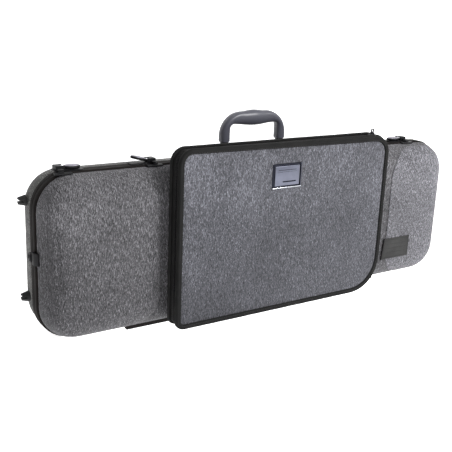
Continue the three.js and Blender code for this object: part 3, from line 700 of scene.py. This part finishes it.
def make_pocket():
    """The piping and tray on the lid, and the cover with its lining, gusset, panel and binding."""
    low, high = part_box("pocket_back_binding")
    back = [
        (0.6 * MM, high.y),
        (0, high.y - 3 * MM),
        (0.6 * MM, low.y),
        (GUSSET_INSET, low.y),
        (GUSSET_INSET, high.y),
    ]
    piece = band("back_piping", POCKET, fillet(back, 1.6 * MM), BINDING, ripple=0.25 * MM)
    place(piece, "lid", "binding_cloth", "pocket_back_binding")

    tray_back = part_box("pocket_tray")[1].y
    thick = 3 * MM
    rings = [
        ring(POCKET, GUSSET_INSET + thick, tray_back - thick),
        ring(POCKET, GUSSET_INSET + thick, ZIP_Y + 0.4 * MM),
        ring(POCKET, GUSSET_INSET, ZIP_Y + 0.4 * MM),
        ring(POCKET, GUSSET_INSET, tray_back),
    ]
    piece = loft("pocket_back_gusset", rings, GUSSET)
    place(piece, "lid", "binding_cloth", "pocket_tray")

    front_edge = PANEL_Y + thick
    inner = GUSSET_INSET + thick + 0.15 * MM
    rings = [ring(POCKET, inner, front_edge + y * MM) for y in (-0.2, 0.5)]
    piece = loft("pocket_cover_lining", rings, GUSSET)
    place(sag(piece), "pocket", "binding_cloth")

    gusset = [
        (GUSSET_INSET, ZIP_Y - 0.4 * MM),
        (GUSSET_INSET, SAG_START_Y),
        (GUSSET_INSET, PANEL_Y),
        (GUSSET_INSET + thick, PANEL_Y),
        (GUSSET_INSET + thick, ZIP_Y - 0.4 * MM),
    ]
    piece = band("pocket_front_gusset", POCKET, gusset, GUSSET)
    place(sag(piece), "pocket", "binding_cloth", "pocket_cover")

    rings = [ring(POCKET, GUSSET_INSET + thick + 0.1 * MM, y) for y in (front_edge, PANEL_Y)]
    rise = [(8, 0.1), (10, 0.6), (13, 0.9)]
    level = [(inset, 1.0) for inset in (18, 26, 40, 60, 84, 108, 128)]
    rings += [ring(POCKET, inset * MM, PANEL_Y - crown * MM) for inset, crown in rise + level]
    undulate(rings[-len(level) :], 0.5 * MM, 11)
    piece = loft("pocket_panel", rings, POCKET_TWEED)
    place(sag(piece), "pocket", "pocket_tweed", "pocket_cover")

    low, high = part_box("pocket_front_binding")
    front = [
        (GUSSET_INSET - 0.3 * MM, high.y),
        (0.3 * MM, high.y),
        (0, low.y + 3 * MM),
        (1.6 * MM, low.y),
        (7.4 * MM, low.y + 0.4 * MM),
        (8.7 * MM, PANEL_Y - 0.2 * MM),
        (GUSSET_INSET - 0.3 * MM, PANEL_Y - 0.2 * MM),
    ]
    radii = [0, 1 * MM, 2 * MM, 2.4 * MM, 1.2 * MM, 0, 0]
    piece = band("front_binding_tape", POCKET, fillet(front, radii), FRONT_BINDING, ripple=0.3 * MM)
    place(sag(piece), "pocket", "binding_cloth", "pocket_front_binding")
    piece = stitch_row("binding_stitches", ring(POCKET, 6.6 * MM, low.y + 0.2 * MM))
    place(sag(piece), "pocket", "binding_cloth")


def zip_path(inset, y):
    """Up one side of the pocket, over the top and down the other."""
    flat = ring(POCKET, inset, y)
    lowest = POCKET["z"][0] + 45 * MM
    start = int(np.argmax(flat[:, 2] > lowest))
    rolled = np.roll(flat, -start, axis=0)
    return rolled[: int(np.argmin(rolled[:, 2] > lowest))]


def away_from_middle(places, directions):
    """Square to a line round the pocket and to Y, looking away from the pocket's middle."""
    middle = np.array([sum(POCKET["x"]) / 2, 0.0, sum(POCKET["z"]) / 2])
    outward = np.cross(directions, [0.0, 1.0, 0.0])
    inward = np.sum(outward * (places - middle), axis=1) < 0
    outward[inward] *= -1
    return outward


def make_zip():
    """Each half of the zip has its teeth, its tape and a row of stitches."""
    tooth = bead(1.9 * MM, 1.3 * MM, 1.5 * MM)
    stitch = bead(2.4 * MM, 0.5 * MM, 0.5 * MM)
    for half, body, side in (("back", "lid", 1), ("front", "pocket", -1)):
        path = zip_path(GUSSET_INSET - 0.5 * MM, ZIP_Y + side * 1.05 * MM)
        places, directions = resample(path, 2.1 * MM)
        outward = away_from_middle(places, directions)
        across = np.tile([0.0, 1.0, 0.0], (len(places), 1))
        piece = scatter(f"zip_teeth_{half}", tooth, places, across, outward, SMOOTH_BLACK)
        place(piece, body, "binding_cloth")
        tape = [
            (GUSSET_INSET - 0.5 * MM, ZIP_Y + side * 1.9 * MM),
            (GUSSET_INSET - 0.5 * MM, ZIP_Y + side * 5.4 * MM),
            (GUSSET_INSET + 0.2 * MM, ZIP_Y + side * 5.9 * MM),
            (GUSSET_INSET + 0.2 * MM, ZIP_Y + side * 1.6 * MM),
        ]
        piece = band(f"zip_tape_{half}", POCKET, fillet(tape, 0.2 * MM, 2), BINDING)
        place(piece, body, "binding_cloth")
        line = ring(POCKET, GUSSET_INSET - 0.6 * MM, ZIP_Y + side * 4.6 * MM)
        places, directions = resample(line, 3.4 * MM, True)
        outward = away_from_middle(places, directions)
        piece = scatter(f"zip_stitches_{half}", stitch, places, directions, outward, THREAD)
        place(piece, body, "binding_cloth")
    refine("zip_slider", DARK_METAL, "nickel", 0.5 * MM, 3)
    refine("zip_pull", DARK_METAL, "nickel", 0.35 * MM, 3)


# ---- Badge and label ----
def make_badge():
    """A framed metal plate with three plain grooves. Its frame is a dark copy of the badge metal, a
    painted reflection of the dark room above; its lower bevel is a bright copy, a painted reflection of
    the floor, and its right bevel a painted lit side.
    """
    low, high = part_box("badge_plate")
    plate = plan(low, high, [2 * MM] * 4)
    few = {"corner_steps": 5, "run_x": 1, "run_z": 1}
    back, front = high.y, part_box("badge_inlay")[0].y
    frame_profile = [
        (0, back),
        (0.2 * MM, back - 1.2 * MM),
        (1.7 * MM, front + 0.1 * MM),
        (2.1 * MM, front + 0.1 * MM),
        (2.3 * MM, back - 0.8 * MM),
        (2.3 * MM, back),
    ]
    piece = band("badge_frame", plate, fillet(frame_profile, 0.2 * MM, 2), BADGE_FRAME_SHADED, **few)
    place(piece, "pocket", "badge_metal", "badge_plate")
    lower_x = (low.x + 0.2 * MM, high.x - 0.2 * MM)
    lower_z = (low.z + 0.1 * MM, low.z + 1.5 * MM)
    right_x = (high.x - 1.3 * MM, high.x - 0.1 * MM)
    right_z = (low.z + 1.7 * MM, high.z - 0.3 * MM)
    # painted reflections: the lower bevel is bright for the floor below, and the right bevel lighter for
    # the lit side
    bevels = (("lower", lower_x, lower_z, BADGE_FLOOR_REFLECTION), ("right", right_x, right_z, BADGE))
    for name, span_x, span_z, finish in bevels:
        shape = rectangle(span_x, span_z, 0.5 * MM)
        rings = [ring(shape, 0, back - 0.5 * MM, **few), ring(shape, 0, front + 0.2 * MM, **few)]
        rings.append(ring(shape, 0.35 * MM, front - 0.05 * MM, **few))
        place(loft(f"badge_bevel_{name}", rings, finish), "pocket", "badge_metal")
    groove = [ring(plate, 2.3 * MM, y, **few) for y in (back, back - 1.4 * MM)]
    piece = loft("badge_groove", groove, BADGE_DARK)
    place(piece, "pocket", "badge_metal")
    face = [
        ring(plate, inset * MM, y, **few)
        for inset, y in ((4.1, back - 1.3 * MM), (4.1, front + 0.5 * MM), (4.6, front + 0.2 * MM))
    ]
    piece = loft("badge_face", face, BADGE)
    place(piece, "pocket", "badge_metal", "badge_inlay")
    centre_x, centre_z = (low.x + high.x) / 2, (low.z + high.z) / 2
    bars = [(-0.5, 9.4, 35, 0.8), (-0.5, 6.4, 35, 0.4), (4, -9.2, 26, 2.0)]
    for index, (dx, dz, width, height) in enumerate(bars):
        span_x = [centre_x + (dx + side * width / 2) * MM for side in (-1, 1)]
        span_z = [centre_z + (dz + side * height / 2) * MM for side in (-1, 1)]
        shape = rectangle(span_x, span_z, height * 0.45 * MM)
        rings = [ring(shape, 0, front + y * MM, **few) for y in (0.6, 0.1)]
        piece = loft(f"badge_bar_{index + 1}", rings, BADGE_DARK)
        place(piece, "pocket", "badge_metal")


def make_label():
    """A dark cloth label with a stitched border and three rows of plain stitches."""
    low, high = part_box("woven_label")
    wide, tall = high.x - low.x, high.z - low.z

    def lean(piece):
        """It was sewn on a little out of square."""
        for vertex in piece.data.vertices:
            below = (high.z - vertex.co.z) / tall
            vertex.co.x -= 4.5 * MM * below * (high.x - vertex.co.x) / wide
            vertex.co.z -= 2.0 * MM * below
        return piece

    shape = plan(low, high, [1.6 * MM] * 4)
    low.y -= 1.2 * MM  # it lies on the raised pad
    rings = [ring(shape, 0, high.y), ring(shape, 0, low.y + 0.4 * MM)]
    for inset, y in ((0.5, 0.1), (2.2, 0.0), (2.8, 0.25), (3.6, 0.0), (8, 0.0), (14, 0.0), (17, 0.0)):
        rings.append(ring(shape, inset * MM, low.y + y * MM))
    piece = loft("label_patch", rings, LABEL)
    place(lean(piece), "lid", "label_cloth", "woven_label")
    edge_x = (low.x - 0.6 * MM, low.x + 1.5 * MM)
    edge_z = (low.z - 0.6 * MM, high.z + 0.2 * MM)
    edge = rectangle(edge_x, edge_z, 0.6 * MM)
    rings = [ring(edge, inset * MM, low.y + y * MM) for inset, y in ((0, 1.6), (0, 0.1), (0.4, -0.3))]
    place(lean(loft("label_edge", rings, BINDING)), "lid", "label_cloth")
    line = ring(shape, 2.8 * MM, low.y)
    piece = stitch_row("label_stitches", line, length=1.8 * MM, gap=0.8 * MM)
    place(lean(piece), "lid", "label_cloth")
    for index, share in enumerate((0.7, 0.5, 0.3)):
        z = low.z + tall * share
        points = [(low.x + 7 * MM, low.y, z), (high.x - 7 * MM, low.y, z)]
        piece = stitch_row(f"label_rib_{index + 1}", points, False, 5 * MM, 0.2 * MM)
        place(lean(piece), "lid", "label_cloth")


# ---- Handle ----
def make_handle():
    """A lofted grip; each station is a point outside, one inside and a half depth in Y."""
    low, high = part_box("handle")
    centre_x, centre_y = (low.x + high.x) / 2, (low.y + high.y) / 2
    half, top = (high.x - low.x) / 2, high.z
    pin_z = sum(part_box("handle_pin_1"), Vector()).z / 2
    crown = 2 * MM
    outer_radius, inner_radius = 40 * MM, 6 * MM
    inner_half, inner_top = half - 17 * MM, top - 22.5 * MM
    leg_depth, corner_gain, grip_gain = 8.5 * MM, 0.9 * MM, 2.2 * MM
    finger_swell = 3.2 * MM
    tongue, tongue_trim = 6.3 * MM, 2.9 * MM
    corner_steps = 12

    def leg(z):
        """A station of the left leg, which narrows to a round-ended tongue at the pin."""
        narrow = min(1.0, max(0.0, (pin_z + 10 * MM - z) / (4 * MM)))
        trim = tongue_trim * narrow
        depth = leg_depth
        if z < pin_z:
            depth = max(1 * MM, math.sqrt(max(tongue**2 - (pin_z - z) ** 2, 0)))
        elif z < pin_z + 9 * MM:
            depth = tongue
        a = Vector((centre_x - half + trim, 0, z))
        b = Vector((centre_x - inner_half - trim, 0, z))
        return a, b, depth

    def arc(edge, base, radius, angle):
        """A point of the upper left corner, which turns in from the leg's edge."""
        x = centre_x - edge + radius * (1 + math.cos(angle))
        return Vector((x, 0, base + radius * math.sin(angle)))

    heights = [pin_z - tongue * math.sin(math.radians(90 - 15 * k)) for k in range(7)]
    heights += [pin_z + h * MM for h in (3, 6, 8, 8.9, 9.3, 10)]
    corner_base = top - crown - outer_radius
    heights += list(np.linspace(heights[-1], corner_base, 5)[1:])
    stations = [leg(z) for z in heights]
    for k in range(1, corner_steps + 1):
        turn = k / corner_steps
        angle = math.radians(180 - 90 * turn)
        a = arc(half, corner_base, outer_radius, angle)
        b = arc(inner_half, inner_top - inner_radius, inner_radius, angle)
        stations.append((a, b, leg_depth + corner_gain * math.sin(math.pi / 2 * turn) ** 2))
    reach, inner_reach = half - outer_radius, inner_half - inner_radius
    for k in range(1, corner_steps + 1):
        t = -1 + k / corner_steps
        swell = math.cos(math.pi / 2 * t) ** 2
        a = Vector((centre_x + reach * t, 0, top - crown * (1 - swell)))
        b = Vector((centre_x + inner_reach * t, 0, inner_top - finger_swell * swell))
        stations.append((a, b, leg_depth + corner_gain + grip_gain * swell))
    for a, b, depth in reversed(stations[:-1]):
        flip = [Vector((2 * centre_x - v.x, 0, v.z)) for v in (a, b)]
        stations.append((*flip, depth))
    sides = 28
    rings = []
    for a, b, depth in stations:
        middle, spoke = (a + b) / 2, (a - b) / 2
        power = 0.7 + 0.1 * min(1.0, max(0.0, (depth - leg_depth) / (3 * MM)))
        points = []
        for k in range(sides):
            u, v = squared(2 * math.pi * k / sides, power)
            seam = 1.012 if k % (sides // 2) == 0 else 1.0
            p = middle + spoke * u * seam
            points.append((p.x, centre_y + depth * v, p.z))
        rings.append(np.array(points))
    piece = loft("handle_grip", rings, HANDLE, sharp=50)
    place(piece, "handle", "moulded_plastic", "handle")
    for number in (1, 2):
        refine(f"handle_mount_{number}", SMOOTH_BLACK, "moulded_plastic", 0.7 * MM, 3)
        refine(f"handle_pin_{number}", NICKEL, "nickel", 0.4 * MM)


# ---- Latches ----
def make_wing(number):
    """A domed oval thumb wing over the CAD wing's place, tilted as that one is."""
    node = f"latch_wing_{number}"
    joint = next(j for j in frame["joints"] if j["name"] == f"wing_{number}_fold")
    pivot = Vector(joint["pos_m"])
    side = -joint["axis"][1]
    tilt = math.radians(-joint["range_deg"][0])
    low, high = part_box(node)
    reach = (high.x - pivot.x) if side > 0 else (pivot.x - low.x)
    length = reach / math.cos(tilt) - 0.2 * MM
    root, half_width = 2.9 * MM, 8 * MM
    sides = 40
    middle = (length + root) / 2
    half_length = (length - root) / 2
    turn = Matrix.Rotation(-tilt, 3, "Y")

    def oval(share, height):
        """One level of the wing: its size as a share of the whole, and its height in MM."""
        points = []
        for k in range(sides):
            angle = 2 * math.pi * k / sides
            u = squared(angle, 0.75)[0] * half_length * share
            v = squared(angle, 0.85)[1] * half_width * share
            q = turn @ Vector((middle + u, v, height * MM))
            points.append((pivot.x + side * q.x, pivot.y + q.y, pivot.z + q.z))
        return np.array(points)

    shoulder = (0.9, 1.1)
    body = [(0.8, -2.8), (0.93, -2.7), (1.0, -2.0), (1.0, 0.6), (0.93, 1.1), shoulder]
    dome = [shoulder, (0.9, 1.4), (0.86, 1.7), (0.7, 2.2), (0.45, 2.5), (0.2, 2.4)]
    piece = loft(f"wing_body_{number}", [oval(*level) for level in body], SMOOTH_BLACK, sharp=60)
    place(piece, f"wing_{number}", "nickel", node)
    piece = loft(f"wing_dome_{number}", [oval(*level) for level in dome], SATIN, sharp=60)
    place(piece, f"wing_{number}", "nickel")
    barrel = bpy.data.meshes.new(f"wing_barrel_{number}")
    work = bmesh.new()
    bmesh.ops.create_cone(
        work,
        cap_ends=True,
        segments=24,
        radius1=2 * MM,
        radius2=2 * MM,
        depth=9.2 * MM,
        matrix=Matrix.Translation(pivot) @ Matrix.Rotation(math.pi / 2, 4, "X"),
    )
    rims = [e for e in work.edges if e.calc_face_angle(0) > 1]
    bmesh.ops.bevel(work, geom=rims, offset=0.4 * MM, segments=2, affect="EDGES", profile=0.5)
    work.to_mesh(barrel)
    work.free()
    piece = new_object(f"wing_barrel_{number}", barrel, NICKEL, 40)
    place(piece, f"wing_{number}", "nickel")


def make_latches():
    for number in (1, 2, 3, 4):
        refine(f"latch_plate_{number}", SMOOTH_BLACK, "dark_metal", 0.35 * MM, 3)
        refine(f"latch_rotor_{number}", SMOOTH_BLACK, "dark_metal", 0.35 * MM, 3)
        refine(f"keeper_{number}", SMOOTH_BLACK, "dark_metal", 0.5 * MM, 3)
        make_wing(number)


def make_hardware():
    for number in (1, 2):
        refine(f"hinge_base_leaf_{number}", RIM, "rim_black", 0.5 * MM)
        refine(f"hinge_lid_leaf_{number}", RIM, "rim_black", 0.5 * MM)
        refine(f"hinge_pin_{number}", NICKEL, "nickel", 0.2 * MM)
        refine(f"spine_foot_{number}", RUBBER, "rubber", 1.2 * MM, 3)
        refine(f"end_foot_{number}", RUBBER, "rubber", 0.8 * MM, 3)
        refine(f"bow_spinner_{number}", SMOOTH_BLACK, "moulded_plastic", 0.8 * MM, 3)
    for side in ("left", "right"):
        refine(f"ring_bracket_{side}", SMOOTH_BLACK, "dark_metal", 0.5 * MM, 3)
        refine(f"strap_ring_{side}", SMOOTH_BLACK, "dark_metal", 0.8 * MM, 4)


# ---- Inside ----
def make_inside():
    soften("base_lining", PLUSH, "plush", 2.6 * MM, 6)
    soften("lid_lining", PLUSH, "plush", 2.2 * MM, 3)
    soften("neck_rest", PLUSH, "plush", 1.2 * MM, 6)
    soften("bow_tip_holder", PLUSH, "plush", 1.0 * MM, 4)
    soften("accessory_lid", PLUSH, "plush", 1.0 * MM, 3)
    refine("neck_strap", GUSSET, "binding_cloth", 0.3 * MM)
    for side in ("left", "right"):
        make_stay(side)


def make_stay(side):
    """A ribbon folded into pleats."""
    node = f"lid_stay_{side}"
    low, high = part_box(node)
    pleats, per_pleat = 8, 6
    first, last = high.y - 0.2 * MM, low.y + 0.2 * MM
    middle_z = (low.z + high.z) / 2
    swing = 17.2 * MM  # half a pleat's height, which gives the ribbon its 275 mm
    vertices = []
    steps = pleats * per_pleat
    columns = 4
    for i in range(steps + 1):
        t = i / steps
        wave = math.sin(math.pi * pleats * t)
        y = first + (last - first) * t
        for x in np.linspace(low.x, high.x, columns):
            vertices.append((x, y, middle_z + swing * wave))
    faces = []
    for i in range(steps):
        for k in range(columns - 1):
            a = i * columns + k
            faces.append((a, a + 1, a + columns + 1, a + columns))
    piece = from_arrays(f"lid_ribbon_{side}", np.array(vertices), faces, GUSSET, 80)
    thick = piece.modifiers.new("thickness", "SOLIDIFY")
    thick.thickness = 0.25 * MM
    thick.offset = 0
    applied(piece)
    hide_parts(node)
    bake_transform(piece)


# ---- Stage, light and camera ----
def make_stage():
    """A pale plinth that ends under the hinges, so that the lid can open down in front of it."""
    g = Graph("floor")
    tone = g.ramp(g.noise(3, detail=2), [(0.3, (0.86, 0.86, 0.87)), (0.7, (0.9, 0.9, 0.9))])
    floor_finish = g.finish(tone, 0.7, Emission_Color=(1, 1, 1, 1), Emission_Strength=0.8)
    low, size = -0.15, 6.0
    half_width, front, back = 0.46, 9 * MM, 0.15
    radius, wall_top = 4.5, 4.0
    footprint = [(-half_width, front), (half_width, front), (half_width, back), (-half_width, back)]
    across = [math.radians(a) for a in range(-30, 121, 15)]
    feet = [(radius * math.sin(a), radius * math.cos(a)) for a in across]
    count = len(feet)
    surfaces = {
        "floor": (
            [(-size, -size, low), (size, -size, low), (size, size, low), (-size, size, low)],
            [(0, 1, 2, 3)],
        ),
        "plinth": (
            [(x, y, z) for z in (low, 0) for x, y in footprint],
            [(4, 5, 6, 7), (0, 1, 5, 4), (1, 2, 6, 5), (2, 3, 7, 6), (3, 0, 4, 7)],
        ),
        "backdrop": (
            [(x, y, z) for z in (low - 0.01, wall_top) for x, y in feet],
            [(i, i + 1, count + i + 1, count + i) for i in range(count - 1)],
        ),
    }
    for name, (vertices, faces) in surfaces.items():
        from_arrays(name, vertices, faces, floor_finish)

    world = bpy.data.worlds.new("studio")
    world.use_nodes = True
    background = world.node_tree.nodes["Background"]
    background.inputs[0].default_value = (1, 1, 1, 1)
    background.inputs[1].default_value = 0.4
    bpy.context.scene.world = world

    def softbox(name, location, target, width, height, power):
        light = bpy.data.lights.new(name, "AREA")
        light.shape = "RECTANGLE"
        light.size, light.size_y = width, height
        light.energy = power
        box = bpy.data.objects.new(name, light)
        box.location = location
        aim = Vector(target) - Vector(location)
        box.rotation_mode = "QUATERNION"
        box.rotation_quaternion = aim.to_track_quat("-Z", "Y")
        bpy.context.scene.collection.objects.link(box)

    softbox("key", (0.9, -1.7, 1.5), (0.05, 0, 0.14), 0.8, 0.8, 52)
    softbox("top", (0.1, 0.2, 2.0), (0, 0, 0.1), 1.6, 1.0, 7)


def make_camera():
    """A long lens at the case's left front, a little above it and tipped down."""
    data = bpy.data.cameras.new("camera")
    data.lens, data.sensor_width = 61.85, 36
    data.clip_start, data.clip_end = 0.05, 50
    camera = bpy.data.objects.new("camera", data)
    yaw, pitch, roll = (math.radians(a) for a in (33.61, 16.33, 2.33))
    ahead = Vector((math.sin(yaw), math.cos(yaw), 0)) * math.cos(pitch)
    forward = ahead - Vector((0, 0, math.sin(pitch)))
    level = Vector((math.cos(yaw), -math.sin(yaw), 0))
    rise = level.cross(forward)
    right = math.cos(roll) * level + math.sin(roll) * rise
    up = math.cos(roll) * rise - math.sin(roll) * level
    turn = Matrix((right, up, -forward)).transposed().to_4x4()
    eye = Vector((-0.7431 + SHIFT_X, -1.012, 0.490 + GROUND_TO_RIM))
    camera.matrix_world = Matrix.Translation(eye) @ turn
    bpy.context.scene.collection.objects.link(camera)
    bpy.context.scene.camera = camera
    bpy.context.scene.view_settings.view_transform = "Standard"


make_camera()
make_stage()
make_shells()
make_pads()
make_rims()
make_pocket()
make_zip()
make_badge()
make_label()
make_handle()
make_latches()
make_hardware()
make_inside()
